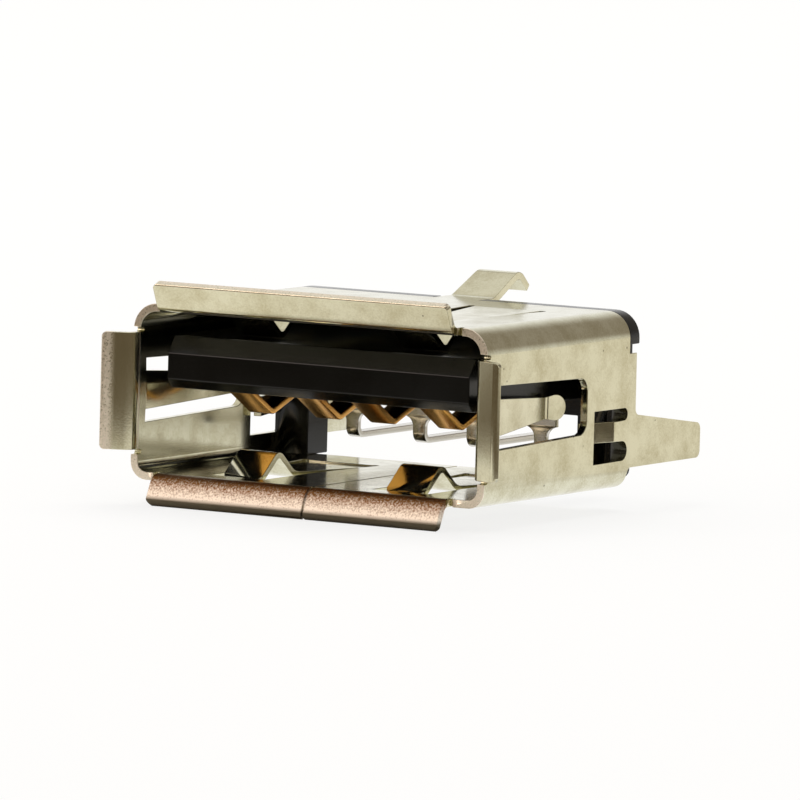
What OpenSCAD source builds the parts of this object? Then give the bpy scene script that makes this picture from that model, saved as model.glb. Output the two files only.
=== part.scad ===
// Upright board socket for a flat four-contact plug: folded shell, moulded insulator, four contacts.
// Millimetres. X across the mouth, Y back from the mouth, Z up; the origin is the centre of the mouth.

/* [Shell] */
// Clear width inside the mouth
mouth_w = 12.5; // [12.4:0.05:12.9]
// Clear height inside the mouth
mouth_h = 5.12; // [5.06:0.02:5.4]
// Thickness of the shell's sheet
sheet_t = 0.25; // [0.2:0.01:0.3]
// Upper corner radius inside the shell
corner_r = 0.6; // [0.5:0.05:0.7]
// Lower corner radius inside the shell
low_corner_r = 0.32; // [0.26:0.02:0.6]
// Depth of the shell from the front of its corners to its rear edge
shell_d = 8.95; // [8.8:0.05:9.2]
// Width of the seam along the bottom wall
seam_gap = 0.08; // [0.04:0.01:0.2]
// Distance of the seam to the right of the middle
seam_x = 0.29; // [-0.5:0.01:0.5]

/* [Lips] */
// Angle each lip is flared through
lip_turn = 66; // [40:1:75]
// Bend radius on the outer face of a lip
lip_bend_r = 0.22; // [0.15:0.01:0.4]
// Width of the top lip
top_lip_w = 10.8; // [10:0.02:11]
// Straight length of the top lip beyond its bend
top_lip_run = 0.72; // [0.5:0.01:1]
// Radius of the rolled edge along the tip of the top lip
top_lip_edge = 0.06; // [0.04:0.01:0.2]
// Height of the side lips
side_lip_h = 3.74; // [3:0.02:3.9]
// Straight length of the side lips beyond their bend
side_lip_run = 0.77; // [0.5:0.01:1]
// Radius of the rolled edge along the tips of the side lips
side_lip_edge = 0.14; // [0.04:0.01:0.2]
// Distance of the bottom lip's left end from the middle
bottom_lip_left = 5.48; // [5:0.02:5.6]
// Distance of the bottom lip's right end from the middle
bottom_lip_right = 5.22; // [5:0.02:5.6]
// Straight length of the bottom lip beyond its bend
bottom_lip_run = 0.68; // [0.4:0.01:0.8]
// Radius of the rolled edge along the tip of the bottom lip
bottom_lip_edge = 0.19; // [0.04:0.01:0.2]
// Corner radius at the tip of a lip
lip_corner_r = 0.24; // [0.1:0.01:0.3]
// Width of the relief notch at each end of a lip
relief_w = 0.16; // [0.1:0.02:0.2]
// Depth of the relief notch
relief_d = 0.24; // [0.2:0.02:0.4]

/* [Top and bottom springs] */
// Distance of a spring from the middle of the wall
spring_x = 3; // [2.6:0.1:3.4]
// Width of the spring at its free end
spring_w = 1.42; // [1.1:0.02:1.6]
// Width of the spring at its root
spring_root_w = 2.4; // [1.8:0.05:2.6]
// Depth at which the spring is rooted in the wall
spring_root_y = 7.1; // [6.6:0.05:7.4]
// Thickness of the spring, coined thinner than the wall on its inner face
spring_t = 0.2; // [0.15:0.01:0.22]
// Inward slope of the spring in front of its root
spring_turn = 1.5; // [0.5:0.1:2.5]
// Corner radius at the spring's free end
spring_tip_r = 0.16; // [0.1:0.02:0.3]
// Depth of the spring's free end
spring_tip_y = 1.05; // [0.95:0.05:1.2]
// Depth of the hump that presses on the plug
hump_y = 2.15; // [2.05:0.05:2.5]
// Height of the hump inside the wall
hump_h = 0.74; // [0.6:0.02:0.76]
// Slope of the hump on both sides
hump_turn = 39; // [34:1:42]
// Bend radius at the crest of the hump
hump_r = 0.2; // [0.15:0.05:0.3]
// Bend radius at the rear foot of the hump
foot_r = 0.8; // [0.5:0.05:1]
// Width of the slot beside the spring
spring_slot = 0.3; // [0.2:0.02:0.36]
// Width of the slot at the spring's root
spring_root_slot = 0.22; // [0.16:0.02:0.3]
// Gap in front of the spring's free end
spring_tip_gap = 0.25; // [0.15:0.05:0.4]

/* [Side springs] */
// Depth of the front end of the window in each side wall
window_y = 0.42; // [0.4:0.02:0.6]
// Depth of the rear end of the window
window_end_y = 6.32; // [6.2:0.02:6.5]
// Height of the window at its front
window_h = 2.04; // [1.8:0.02:2.3]
// Height of the window at its rear
window_end_h = 1.8; // [1.6:0.02:2]
// Corner radius at the rear of the window
window_r = 0.42; // [0.3:0.02:0.5]
// Height of the side spring at its root
blade_root_h = 1.24; // [1.1:0.02:1.4]
// Height of the side spring at its knee
blade_neck_h = 0.7; // [0.6:0.02:0.8]
// Height of the side spring at its tip
blade_tip_h = 0.82; // [0.7:0.02:0.9]
// Inward slope of the side spring
blade_turn = 8.1; // [7:0.1:8.3]
// Depth of the knee that presses on the plug
knee_y = 4.75; // [4.4:0.05:4.8]
// Outward slope of the side spring's tip
flare_turn = 17; // [12:1:22]
// Length of the flared tip
flare_run = 0.66; // [0.55:0.01:0.8]
// Bend radius of the side spring
blade_r = 0.5; // [0.3:0.05:0.8]

/* [Locking tabs] */
// Depth of the front end of the cut round the tab
lock_y = 6.8; // [6.75:0.05:6.9]
// Depth of the rear ends of the slots beside the tab
lock_end_y = 8.9; // [8.8:0.05:9]
// Height of the cut's upper edge
lock_top = -0.22; // [-0.3:0.02:-0.16]
// Height of the cut's lower edge
lock_bottom = -1.9; // [-1.94:0.02:-1.8]
// Height of the tab's upper edge
tab_top = -0.62; // [-0.7:0.02:-0.54]
// Height of the tab's lower edge
tab_bottom = -1.27; // [-1.35:0.02:-1.2]
// Depth of the tab's bend
tab_bend_y = 8.25; // [8:0.05:8.3]
// Angle the tab is bent inwards
tab_turn = 15; // [8:1:20]

/* [Legs] */
// Depth of the rear edge of the side walls above the legs
cheek_y = 9.4; // [9.3:0.05:9.5]
// Height of the top of that edge
cheek_top = 1.5; // [1.3:0.05:1.6]
// Depth of the tips of the side legs
leg_tip_y = 13.63; // [13:0.05:14]
// Height of a leg's upper edge at its root
leg_root_top = -0.5; // [-0.6:0.02:-0.4]
// Height of a leg's upper edge at its tip
leg_tip_top = -1; // [-1.2:0.05:-0.7]
// Height of a leg's lower edge
leg_bottom = -2.15; // [-2.25:0.02:-2.05]
// Corner radius at a leg's tip
leg_corner_r = 0.25; // [0.1:0.05:0.4]
// Fillet radius at a leg's root
leg_fillet_r = 0.22; // [0.1:0.02:0.3]

/* [Top leg] */
// Width of the top leg at its root
top_leg_w = 1.6; // [1.4:0.05:1.8]
// Width of the top leg at its tip
top_leg_tip_w = 1.3; // [1.1:0.05:1.4]
// Depth at which the top leg starts to rise
top_leg_y = 9.95; // [9.8:0.05:10.2]
// Height of the kink above the top wall
kink_h = 0.74; // [0.5:0.02:0.9]
// Slope up to the kink
kink_rise = 26; // [22:1:32]
// Slope down from the kink
kink_fall = 40; // [30:1:50]
// Length of the slope down to the tip
kink_run = 0.5; // [0.4:0.05:0.7]
// Bend radius under the kink
kink_r = 0.35; // [0.25:0.05:0.5]

/* [Insulator] */
// Width of the tongue
tongue_w = 11.1; // [10.8:0.02:11.16]
// Thickness of the tongue
tongue_t = 1.68; // [1.6:0.02:1.8]
// Gap between the tongue and the top wall
tongue_gap = 0.78; // [0.76:0.02:0.88]
// Depth of the tongue's front face
tongue_y = 0.55; // [0.4:0.05:0.7]
// Length of the lead-in along the tongue's upper front edge
lead_in_d = 0.4; // [0.2:0.02:0.5]
// Height of that lead-in
lead_in_h = 0.56; // [0.3:0.02:0.7]
// Chamfer on the tongue's lower front edge
tongue_chamfer = 0.3; // [0.1:0.02:0.36]
// Depth of the rear block's front face
block_y = 8.3; // [8.3:0.02:8.4]
// Depth of the insulator's rear face, which stands on the board
rear_y = 9.55; // [9.5:0.05:9.7]
// Height of the rear block's underside
block_under = -0.55; // [-0.7:0.05:-0.4]
// Width of the post on each side
post_w = 1.25; // [1:0.05:1.4]
// Height of the lower ends of the rear rim
rim_bottom = 1.78; // [1.65:0.02:1.9]
// Clearance between the rear rim and the top leg
rim_clear = 0.06; // [0.03:0.01:0.1]
// Depth of the grooves that the contacts flex into
groove_h = 0.65; // [0.55:0.02:0.75]
// Distance of the grooves behind the tongue's front face
groove_inset = 0.5; // [0.4:0.05:0.7]

/* [Contacts] */
// Thickness of the contact strip
contact_t = 0.2; // [0.15:0.01:0.22]
// Width of the contact's spring arm
contact_w = 0.82; // [0.7:0.02:1]
// Width of the contact where it is seated
contact_seat_w = 1.15; // [1.05:0.01:1.3]
// Clearance on each side of a seated contact
contact_clear = 0.04; // [0.02:0.01:0.08]
// Spacing of the two inner contacts
inner_pitch = 2; // [1.9:0.05:2.1]
// Spacing of the two outer contacts
outer_pitch = 7; // [6.9:0.05:7.1]
// Depth of the contact point
point_y = 3.04; // [2.9:0.02:3.4]
// Height of the contact point below the tongue
point_drop = 0.82; // [0.7:0.02:0.9]
// Slope of the contact's front arm
front_turn = 30; // [26:1:32]
// Length of the contact's front arm
front_run = 1.75; // [1.5:0.05:1.9]
// Slope of the contact's rear arm
rear_turn = 20; // [18:1:24]
// Bend radius inside the contact point
point_r = 0.22; // [0.15:0.01:0.3]
// Bend radius where the rear arm meets the tongue
heel_r = 0.5; // [0.3:0.05:0.8]
// Depth of the rear face of the contact's upright part
upright_y = 8.75; // [8.7:0.01:8.85]
// Bend radius above and below the upright part
upright_r = 0.16; // [0.1:0.02:0.2]
// Height of the tail's underside
tail_z = -1.9; // [-2:0.05:-1.8]
// Width of the solder tail
tail_w = 0.45; // [0.4:0.01:0.55]
// Depth of the tail's end
tail_y = 12.9; // [12:0.1:13.5]

/* [Hidden] */
$fn = 48;
// Largest turn between two points along a bend, in degrees
bend_step = 9;
// Length by which a piece laps into what it joins or cuts past
lap = 0.4;
// Reach of a cutting or trimming body, larger than the part
far = 40;
// Small offset that keeps two faces from lying exactly on each other
nudge = 0.015;

outer_w = mouth_w + 2 * sheet_t;
outer_h = mouth_h + 2 * sheet_t;

// How far a top or bottom spring runs back from its crest and in from its root, less its bends
spring_bends_r = foot_r + hump_r + spring_t;
spring_back = spring_root_y - hump_y - spring_bends_r * sin(hump_turn);
spring_in = hump_h + sheet_t - spring_t - spring_bends_r * (1 - cos(hump_turn));
// Lengths of its straight arm and of the slope behind its hump
spring_arm = (spring_back * sin(hump_turn) - spring_in * cos(hump_turn)) / sin(hump_turn - spring_turn);
hump_slope = (spring_in * cos(spring_turn) - spring_back * sin(spring_turn)) / sin(hump_turn - spring_turn);
// Depth at which the arm meets that slope
hump_foot_y = spring_root_y - foot_r * sin(spring_turn) - spring_arm * cos(spring_turn);

tongue_top = mouth_h / 2 - tongue_gap;
tongue_bottom = tongue_top - tongue_t;
contact_x = [-outer_pitch / 2, -inner_pitch / 2, inner_pitch / 2, outer_pitch / 2];
groove_w = contact_seat_w + 2 * contact_clear;

// Where the spring arm of a contact runs
rear_run = (point_drop - (point_r + contact_t + heel_r) * (1 - cos(rear_turn))) / sin(rear_turn);
heel_y = point_y + (point_r + contact_t + heel_r) * sin(rear_turn) + rear_run * cos(rear_turn);
arm_start = [
  point_y - (point_r + contact_t) * sin(front_turn) - front_run * cos(front_turn),
  tongue_bottom - point_drop + (point_r + contact_t) * (1 - cos(front_turn)) + front_run * sin(front_turn)
];

// Points along one face of a bent strip; each step is [straight run, turn after it, inside bend radius]
function bent_path(steps, t, at, heading, i = 0) =
  let (bend = at + steps[i][0] * [cos(heading), sin(heading)])
  i + 1 == len(steps) ? [[bend, heading]] :
  let (
    turn = steps[i][1],
    side = sign(turn),
    r = steps[i][2] + (turn > 0 ? t : 0),
    centre = bend + side * r * [-sin(heading), cos(heading)],
    n = ceil(abs(turn) / bend_step),
    arc = [
      for (k = [0:n])
        let (h = heading + turn * k / n)
        [centre + side * r * [sin(h), -cos(h)], h]
    ]
  )
  concat(arc, bent_path(steps, t, arc[n][0], heading + turn, i + 1));

// Edge view of a bent strip, lying on the left of its path
module bent_strip(steps, t, at = [0, 0], heading = 0) {
  path = concat([[at, heading]], bent_path(steps, t, at, heading));
  last = len(path) - 1;
  polygon(concat(
    [for (p = path) p[0]],
    [for (k = [last:-1:0]) path[k][0] + t * [-sin(path[k][1]), cos(path[k][1])]]
  ));
}

module rounded_rect(w, h, r) {
  square([w - 2 * r, h], center = true);
  square([w, h - 2 * r], center = true);
  for (x = [-1, 1], y = [-1, 1])
    translate([x * (w / 2 - r), y * (h / 2 - r)])
      circle(r);
}

// Front view of the tube's wall, set out from its inner face
module wall_outline(out) {
  w = mouth_w + 2 * out;
  h = mouth_h + 2 * out;
  upper = corner_r + out;
  lower = low_corner_r + out;
  translate([-w / 2, lower - h / 2])
    square([w, h - upper - lower]);
  translate([upper - w / 2, 0])
    square([w - 2 * upper, h / 2]);
  translate([lower - w / 2, -h / 2])
    square([w - 2 * lower, h / 2]);
  for (x = [-1, 1]) {
    translate([x * (w / 2 - upper), h / 2 - upper])
      circle(upper);
    translate([x * (w / 2 - lower), lower - h / 2])
      circle(lower);
  }
}

// Front view pushed back from depth y
module along_depth(y, depth) {
  translate([0, y + depth, 0])
    rotate([90, 0, 0])
      linear_extrude(depth)
        children();
}

// Side view, drawn back and up, given a width across the part
module across(w) {
  rotate([90, 0, 90])
    linear_extrude(w, center = true)
      children();
}

module both_sides() {
  children();
  mirror([1, 0, 0])
    children();
}

module both_walls() {
  children();
  mirror([0, 0, 1])
    children();
}

// A side leg and the cheek above it, seen from the side
module leg_outline() {
  tip = leg_tip_y - leg_corner_r;
  translate([shell_d - lap, leg_root_top - lap])
    square([cheek_y - shell_d + lap, cheek_top - leg_root_top + lap]);
  polygon([
    [shell_d - lap, leg_root_top],
    [cheek_y + leg_fillet_r, leg_root_top],
    [tip, leg_tip_top],
    [tip, leg_bottom],
    [shell_d - lap, leg_bottom]
  ]);
  translate([tip - lap, leg_bottom + leg_corner_r])
    square([lap + leg_corner_r, leg_tip_top - leg_bottom - 2 * leg_corner_r]);
  for (z = [leg_tip_top - leg_corner_r, leg_bottom + leg_corner_r])
    translate([tip, z])
      circle(leg_corner_r);
  difference() {
    translate([cheek_y - lap, leg_root_top - lap])
      square(lap + leg_fillet_r);
    translate([cheek_y + leg_fillet_r, leg_root_top + leg_fillet_r])
      circle(leg_fillet_r);
  }
  difference() {
    translate([shell_d - lap, leg_bottom - leg_fillet_r])
      square(lap + leg_fillet_r);
    translate([shell_d + leg_fillet_r, leg_bottom - leg_fillet_r])
      circle(leg_fillet_r);
  }
}

// The rolled tube with its cheeks and side legs
module tube() {
  intersection() {
    along_depth(0, leg_tip_y)
      difference() {
        wall_outline(sheet_t);
        wall_outline(0);
      }
    across(2 * outer_w)
      union() {
        translate([-lap, -outer_h])
          square([shell_d + lap, 2 * outer_h]);
        leg_outline();
      }
  }
}

// Edge view of a lip that leaves a wall's front edge, rolled off on the mouth side of its tip
module lip_profile(run, edge) {
  bend_end = (sheet_t + lip_bend_r) * [sin(lip_turn), 1 - cos(lip_turn)];
  mirror([1, 0])
    difference() {
      bent_strip([[lap, lip_turn, lip_bend_r], [run]], sheet_t, [-lap, 0]);
      translate(bend_end + run * [cos(lip_turn), sin(lip_turn)])
        rotate(lip_turn)
          difference() {
            translate([-edge, -lap])
              square([edge + lap, edge + lap]);
            translate([-edge, edge])
              circle(edge);
          }
    }
}

// A lip on the front edge of the top wall, with the corners of its tip rounded in its own plane;
// its ends are left for the relief notches to trim
module lip(left, right, run, edge) {
  tip = (sheet_t + lip_bend_r) * sin(lip_turn) + run;
  translate([0, -nudge, 0])
    intersection() {
      across(far)
        lip_profile(run, edge);
      rotate([180 - lip_turn, 0, 0])
        linear_extrude(far, center = true)
          translate([(right - left) / 2, tip + nudge - far / 2])
            rounded_rect(left + right + 2 * nudge, far, lip_corner_r);
    }
}

module lips() {
  translate([0, 0, mouth_h / 2])
    lip(top_lip_w / 2, top_lip_w / 2, top_lip_run, top_lip_edge);
  mirror([0, 0, 1])
    translate([0, 0, mouth_h / 2])
      lip(bottom_lip_left, bottom_lip_right, bottom_lip_run, bottom_lip_edge);
  both_sides()
    rotate([0, 90, 0])
      translate([0, 0, mouth_w / 2])
        lip(side_lip_h / 2, side_lip_h / 2, side_lip_run, side_lip_edge);
}

// Relief notch beyond the right end of a lip, in plan
module relief(x) {
  translate([x, -far])
    square([relief_w, far + relief_d - relief_w / 2]);
  translate([x + relief_w / 2, relief_d - relief_w / 2])
    circle(relief_w / 2);
}

// The two relief notches of a lip on the top wall
module lip_reliefs(left, right) {
  linear_extrude(far) {
    relief(right);
    mirror([1, 0])
      relief(left);
  }
}

module reliefs() {
  lip_reliefs(top_lip_w / 2, top_lip_w / 2);
  mirror([0, 0, 1])
    lip_reliefs(bottom_lip_left, bottom_lip_right);
  both_sides()
    rotate([0, 90, 0])
      lip_reliefs(side_lip_h / 2, side_lip_h / 2);
}

// The kinked leg at the rear of the top wall
module top_leg() {
  rise = kink_h - (2 * kink_r + sheet_t) * (1 - cos(kink_rise));
  start = shell_d - lap;
  intersection() {
    translate([0, 0, mouth_h / 2])
      across(far)
        bent_strip(
          [
            [top_leg_y - start, kink_rise, kink_r],
            [rise / sin(kink_rise), -kink_rise - kink_fall, kink_r],
            [kink_run]
          ],
          sheet_t,
          [start, 0]
        );
    linear_extrude(far, center = true)
      polygon([
        [-top_leg_w / 2, 0],
        [top_leg_w / 2, 0],
        [top_leg_w / 2, top_leg_y],
        [top_leg_tip_w / 2, leg_tip_y],
        [-top_leg_tip_w / 2, leg_tip_y],
        [-top_leg_w / 2, top_leg_y]
      ]);
  }
}

// Opening round a top or bottom spring, in plan
module spring_window() {
  front = spring_w / 2 + spring_slot;
  rear = spring_root_w / 2 + spring_root_slot;
  polygon([
    [-front, spring_tip_y - spring_tip_gap],
    [front, spring_tip_y - spring_tip_gap],
    [front, hump_foot_y],
    [rear, spring_root_y],
    [-rear, spring_root_y],
    [-front, hump_foot_y]
  ]);
  for (x = [-1, 1])
    translate([x * (rear - spring_root_slot / 2), spring_root_y])
      circle(spring_root_slot / 2);
}

// A top or bottom spring, in plan
module spring_plan() {
  r = spring_tip_r;
  polygon([
    [-spring_w / 2, spring_tip_y + r],
    [spring_w / 2, spring_tip_y + r],
    [spring_w / 2, hump_foot_y],
    [spring_root_w / 2, spring_root_y],
    [spring_root_w / 2 - lap, spring_root_y + lap],
    [lap - spring_root_w / 2, spring_root_y + lap],
    [-spring_root_w / 2, spring_root_y],
    [-spring_w / 2, hump_foot_y]
  ]);
  translate([r - spring_w / 2, spring_tip_y])
    square([spring_w - 2 * r, 2 * r]);
  for (x = [r - spring_w / 2, spring_w / 2 - r])
    translate([x, spring_tip_y + r])
      circle(r);
}

module spring() {
  tip_run = (hump_y - spring_tip_y - (hump_r + spring_t) * sin(hump_turn)) / cos(hump_turn);
  intersection() {
    translate([0, 0, mouth_h / 2 + sheet_t - spring_t])
      across(far)
        mirror([1, 0])
          bent_strip(
            [
              [lap, -spring_turn, foot_r],
              [spring_arm, spring_turn - hump_turn, foot_r],
              [hump_slope, 2 * hump_turn, hump_r],
              [tip_run + spring_t]
            ],
            spring_t,
            [-spring_root_y - lap, 0]
          );
    linear_extrude(far, center = true)
      spring_plan();
  }
}

// Window in a side wall, seen from the side
module side_window() {
  polygon([
    [window_y, -window_h / 2],
    [window_end_y - window_r, -window_end_h / 2],
    [window_end_y - window_r, window_end_h / 2],
    [window_y, window_h / 2]
  ]);
  translate([window_end_y - 2 * window_r, window_r - window_end_h / 2])
    square([2 * window_r, window_end_h - 2 * window_r]);
  for (z = [window_r - window_end_h / 2, window_end_h / 2 - window_r])
    translate([window_end_y - window_r, z])
      circle(window_r);
}

module side_spring() {
  start = window_y - lap;
  knee_run = (knee_y - window_y - (2 * blade_r + sheet_t) * sin(blade_turn)) / cos(blade_turn);
  knee_end = knee_y + (blade_r + sheet_t) * sin(flare_turn);
  tip = knee_end + flare_run * cos(flare_turn);
  intersection() {
    translate([-mouth_w / 2, 0, 0])
      rotate(90)
        linear_extrude(far, center = true)
          bent_strip(
            [
              [lap, -blade_turn, blade_r],
              [knee_run, blade_turn + flare_turn, blade_r],
              [flare_run + sheet_t]
            ],
            sheet_t,
            [start, 0]
          );
    across(far)
      union() {
        polygon([
          [start, -blade_root_h / 2],
          [window_y, -blade_root_h / 2],
          [knee_y, -blade_neck_h / 2],
          [tip - blade_tip_h / 2, -blade_tip_h / 2],
          [tip - blade_tip_h / 2, blade_tip_h / 2],
          [knee_y, blade_neck_h / 2],
          [window_y, blade_root_h / 2],
          [start, blade_root_h / 2]
        ]);
        translate([tip - blade_tip_h / 2, 0])
          circle(blade_tip_h / 2);
      }
  }
}

// Cut round a locking tab, seen from the side
module lock_cut() {
  translate([lock_y, lock_bottom])
    square([tab_bend_y - lock_y, lock_top - lock_bottom]);
  for (slot = [[tab_top, lock_top], [lock_bottom, tab_bottom]]) {
    r = (slot[1] - slot[0]) / 2;
    translate([tab_bend_y - lap, slot[0]])
      square([lock_end_y - r - tab_bend_y + lap, 2 * r]);
    translate([lock_end_y - r, slot[0] + r])
      circle(r);
  }
}

module lock_tab() {
  translate([-outer_w / 2, 0, (tab_top + tab_bottom) / 2])
    rotate(-90)
      linear_extrude(tab_top - tab_bottom, center = true)
        bent_strip(
          [[lap / 2, tab_turn, blade_r], [tab_bend_y - lock_y - blade_r * sin(tab_turn)]],
          sheet_t,
          [-tab_bend_y - lap / 2, 0]
        );
}

module shell() {
  color([0.78, 0.76, 0.7]) {
    difference() {
      union() {
        tube();
        lips();
        top_leg();
      }
      reliefs();
      both_walls()
        both_sides()
          translate([spring_x, 0, 0])
            linear_extrude(far)
              spring_window();
      across(far) {
        side_window();
        lock_cut();
      }
      translate([seam_x - seam_gap / 2, -far / 2, -far])
        cube([seam_gap, far, far]);
    }
    both_walls()
      both_sides()
        translate([spring_x, 0, 0])
          spring();
    both_sides() {
      side_spring();
      lock_tab();
    }
  }
}

// The tongue with its lead-in and chamfered front edge
module tongue() {
  across(tongue_w)
    polygon([
      [tongue_y, tongue_bottom + tongue_chamfer],
      [tongue_y + tongue_chamfer, tongue_bottom],
      [block_y + lap, tongue_bottom],
      [block_y + lap, tongue_top],
      [tongue_y + lead_in_d, tongue_top],
      [tongue_y, tongue_top - lead_in_h]
    ]);
}

// The rear block, the posts and the rim that covers the shell's rear edge
module rear_block() {
  along_depth(block_y, rear_y - block_y)
    difference() {
      wall_outline(0);
      translate([post_w - mouth_w / 2, -mouth_h])
        square([mouth_w - 2 * post_w, mouth_h + block_under]);
    }
  along_depth(shell_d, rear_y - shell_d)
    difference() {
      wall_outline(sheet_t);
      translate([-outer_w, rim_bottom - 2 * outer_h])
        square([2 * outer_w, 2 * outer_h]);
      translate([-top_leg_w / 2 - rim_clear, mouth_h / 2])
        square([top_leg_w + 2 * rim_clear, outer_h]);
    }
}

// Groove under the tongue for one contact: deep where it flexes, shallow where it is seated
module groove(x) {
  front = tongue_y + groove_inset;
  translate([x - groove_w / 2, front, tongue_bottom - lap])
    cube([groove_w, heel_y - front, groove_h + lap]);
  translate([x - groove_w / 2, heel_y - lap, -far])
    cube([groove_w, upright_y - heel_y + lap, far + tongue_bottom + contact_t]);
}

module insulator() {
  color([0.07, 0.07, 0.07])
    difference() {
      union() {
        tongue();
        rear_block();
      }
      for (x = contact_x)
        groove(x);
    }
}

// Edge view of a contact from its free end to the end of its tail
module contact_profile() {
  turn_y = upright_y - contact_t - upright_r;
  bent_strip(
    [
      [front_run, front_turn + rear_turn, point_r],
      [rear_run, -rear_turn, heel_r],
      [turn_y - heel_y, -90, upright_r],
      [tongue_bottom - tail_z - 2 * upright_r - contact_t, 90, upright_r],
      [tail_y - upright_y - upright_r]
    ],
    contact_t,
    arm_start,
    -front_turn
  );
}

// Half the widths of a contact: the arm in plan, then the upright part and the stem from the front
module contact_trim() {
  neck = tail_z + contact_t + 2 * upright_r;
  r = (contact_seat_w - tail_w) / 2;
  translate([-contact_w / 2, 0, -far / 2])
    cube([contact_w, heel_y, far]);
  along_depth(heel_y, upright_y + lap - heel_y)
    difference() {
      translate([-contact_seat_w / 2, neck])
        square([contact_seat_w, far]);
      for (x = [-1, 1])
        translate([x * contact_seat_w / 2, neck])
          circle(r);
    }
  translate([-tail_w / 2, heel_y, -far])
    cube([tail_w, far, far]);
}

module contact(x) {
  color([0.8, 0.6, 0.28])
    translate([x, 0, 0])
      intersection() {
        across(far)
          contact_profile();
        contact_trim();
      }
}

module contact_left_outer() {
  contact(contact_x[0]);
}

module contact_left_inner() {
  contact(contact_x[1]);
}

module contact_right_inner() {
  contact(contact_x[2]);
}

module contact_right_outer() {
  contact(contact_x[3]);
}

shell();
insulator();
contact_left_outer();
contact_left_inner();
contact_right_inner();
contact_right_outer();
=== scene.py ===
"""Board socket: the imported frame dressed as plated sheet, plastic and gilt strip, on a studio stage."""
import math

import bmesh
import bpy
from mathutils import Matrix, Vector


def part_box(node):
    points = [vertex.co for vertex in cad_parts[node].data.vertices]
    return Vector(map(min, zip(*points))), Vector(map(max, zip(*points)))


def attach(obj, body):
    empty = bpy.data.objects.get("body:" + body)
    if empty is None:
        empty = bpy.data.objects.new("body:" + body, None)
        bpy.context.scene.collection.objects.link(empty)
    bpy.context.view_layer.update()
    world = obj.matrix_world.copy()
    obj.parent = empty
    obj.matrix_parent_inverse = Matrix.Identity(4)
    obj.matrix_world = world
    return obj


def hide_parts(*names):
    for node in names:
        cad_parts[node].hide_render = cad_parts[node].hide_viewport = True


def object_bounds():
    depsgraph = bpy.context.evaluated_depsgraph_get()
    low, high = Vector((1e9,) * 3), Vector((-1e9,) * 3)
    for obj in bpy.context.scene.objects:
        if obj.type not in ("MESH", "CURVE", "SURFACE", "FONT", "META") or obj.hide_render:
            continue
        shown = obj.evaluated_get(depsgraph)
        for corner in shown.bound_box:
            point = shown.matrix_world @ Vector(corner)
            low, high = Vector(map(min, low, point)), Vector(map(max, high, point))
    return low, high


bl_info = {
    "name": "Board socket",
    "version": (1, 0, 0),
    "blender": (4, 5, 0),
    "location": "View3D > Sidebar > Socket",
    "description": "Dresses the packed socket: plated shell, moulded insulator, gilt contacts, studio stage",
    "category": "Object",
}

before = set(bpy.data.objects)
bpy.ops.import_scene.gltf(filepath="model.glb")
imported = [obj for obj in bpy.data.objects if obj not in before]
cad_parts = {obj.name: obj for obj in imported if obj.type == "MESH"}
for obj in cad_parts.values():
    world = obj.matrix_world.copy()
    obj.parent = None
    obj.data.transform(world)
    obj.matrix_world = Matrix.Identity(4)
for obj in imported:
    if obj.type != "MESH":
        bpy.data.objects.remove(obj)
cad_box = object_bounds()

MM = 0.001
BODY = "root"
CONTACTS = ("contact_left_outer", "contact_left_inner", "contact_right_inner", "contact_right_outer")
WHITE = (1.0, 1.0, 1.0, 1.0)

# Side view of a contact in millimetres: depth and height of the lower face at the tip, and the slope there
STRIP_START = (1.31446, 0.21127)
STRIP_SLOPE = -30
# Each step is a straight run, the turn after it in degrees, and the radius inside that turn
STRIP_STEPS = ((1.75, 50, 0.22), (2.2354, -20, 0.5), (2.9349, -90, 0.16), (1.48, 90, 0.16), (3.9898, 0, 0))
# Points in each bend of a strip and in each rounded edge, and their spacing along the strip in millimetres
BEND_POINTS = 12
EDGE_POINTS = 3
POINT_SPACING = 0.04

# Faces that turn by less than the first angle are one flat face, by more than the second have a rounded edge
# between them, and by more than the third are shaded apart
FLAT_ANGLE = math.radians(0.5)
CORNER_ANGLE = math.radians(35)
CRISP_ANGLE = math.radians(50)
ROUND_STEPS = 2
# An edge shorter than this in millimetres, or beside a face of fewer square millimetres, isn't rounded
SHORTEST_EDGE = 0.05
SMALLEST_FACE = 0.003

# Wear and painted light on the lips in millimetres inwards from the imported box: where each starts and where
# it is full
# The rims are scuffed, and also painted paler than the plating as a highlight
SIDE_RIM = (0.534, 0.334)
TOP_RIM = (0.178, 0.038)
LIP_FRONT = (0.618, 0.368)
LOW_LIP_TOP = 1.062
# The copper band is a painted reflection of the gold contacts and the warm room in the bottom lip's bend
COPPER_REFLECTION_BAND = (0.882, 1.382)
# The dark tip is painted shade, where the rolled tip mirrors the shadowed floor close under it
PAINTED_TIP_SHADE = (0.362, 0.222)
# Wear and painted light in millimetres from the plane of the mouth: how far the corners' scuffed edge,
# painted paler as a highlight, reaches to each side, and where the bottom lip's wear and painted light start
# and where they are full
MOUTH_EDGE = 0.04
LOW_LIP_FRONT = (-0.04, -0.14)
# Height in millimetres over which the grain of the metal breaks up the painted copper reflection
COPPER_GRAIN = 1.0

# Paper in millimetres from the centre of the mouth: where each change starts and where it is full
NEAR_PAPER = (26, 11)
REAR_PAPER = (4, 20)
SHADED_PAPER = (14, 9)
GLOWING_PAPER = (0.3, 1.2)
# The rear paper's front edge slants forwards on the left by this much
REAR_SLANT = -0.45
# Share of the floor's own white in what the camera sees; the rest takes the shadow
OWN_WHITE = 0.8
# Half the floor's width in millimetres
FLOOR_HALF = 2000
# Ends of the dark card's foot and its height, in millimetres
CARD_NEAR = (22.8, 15.0)
CARD_FAR = (20.8, 18.6)
CARD_HEIGHT = 7

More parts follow.
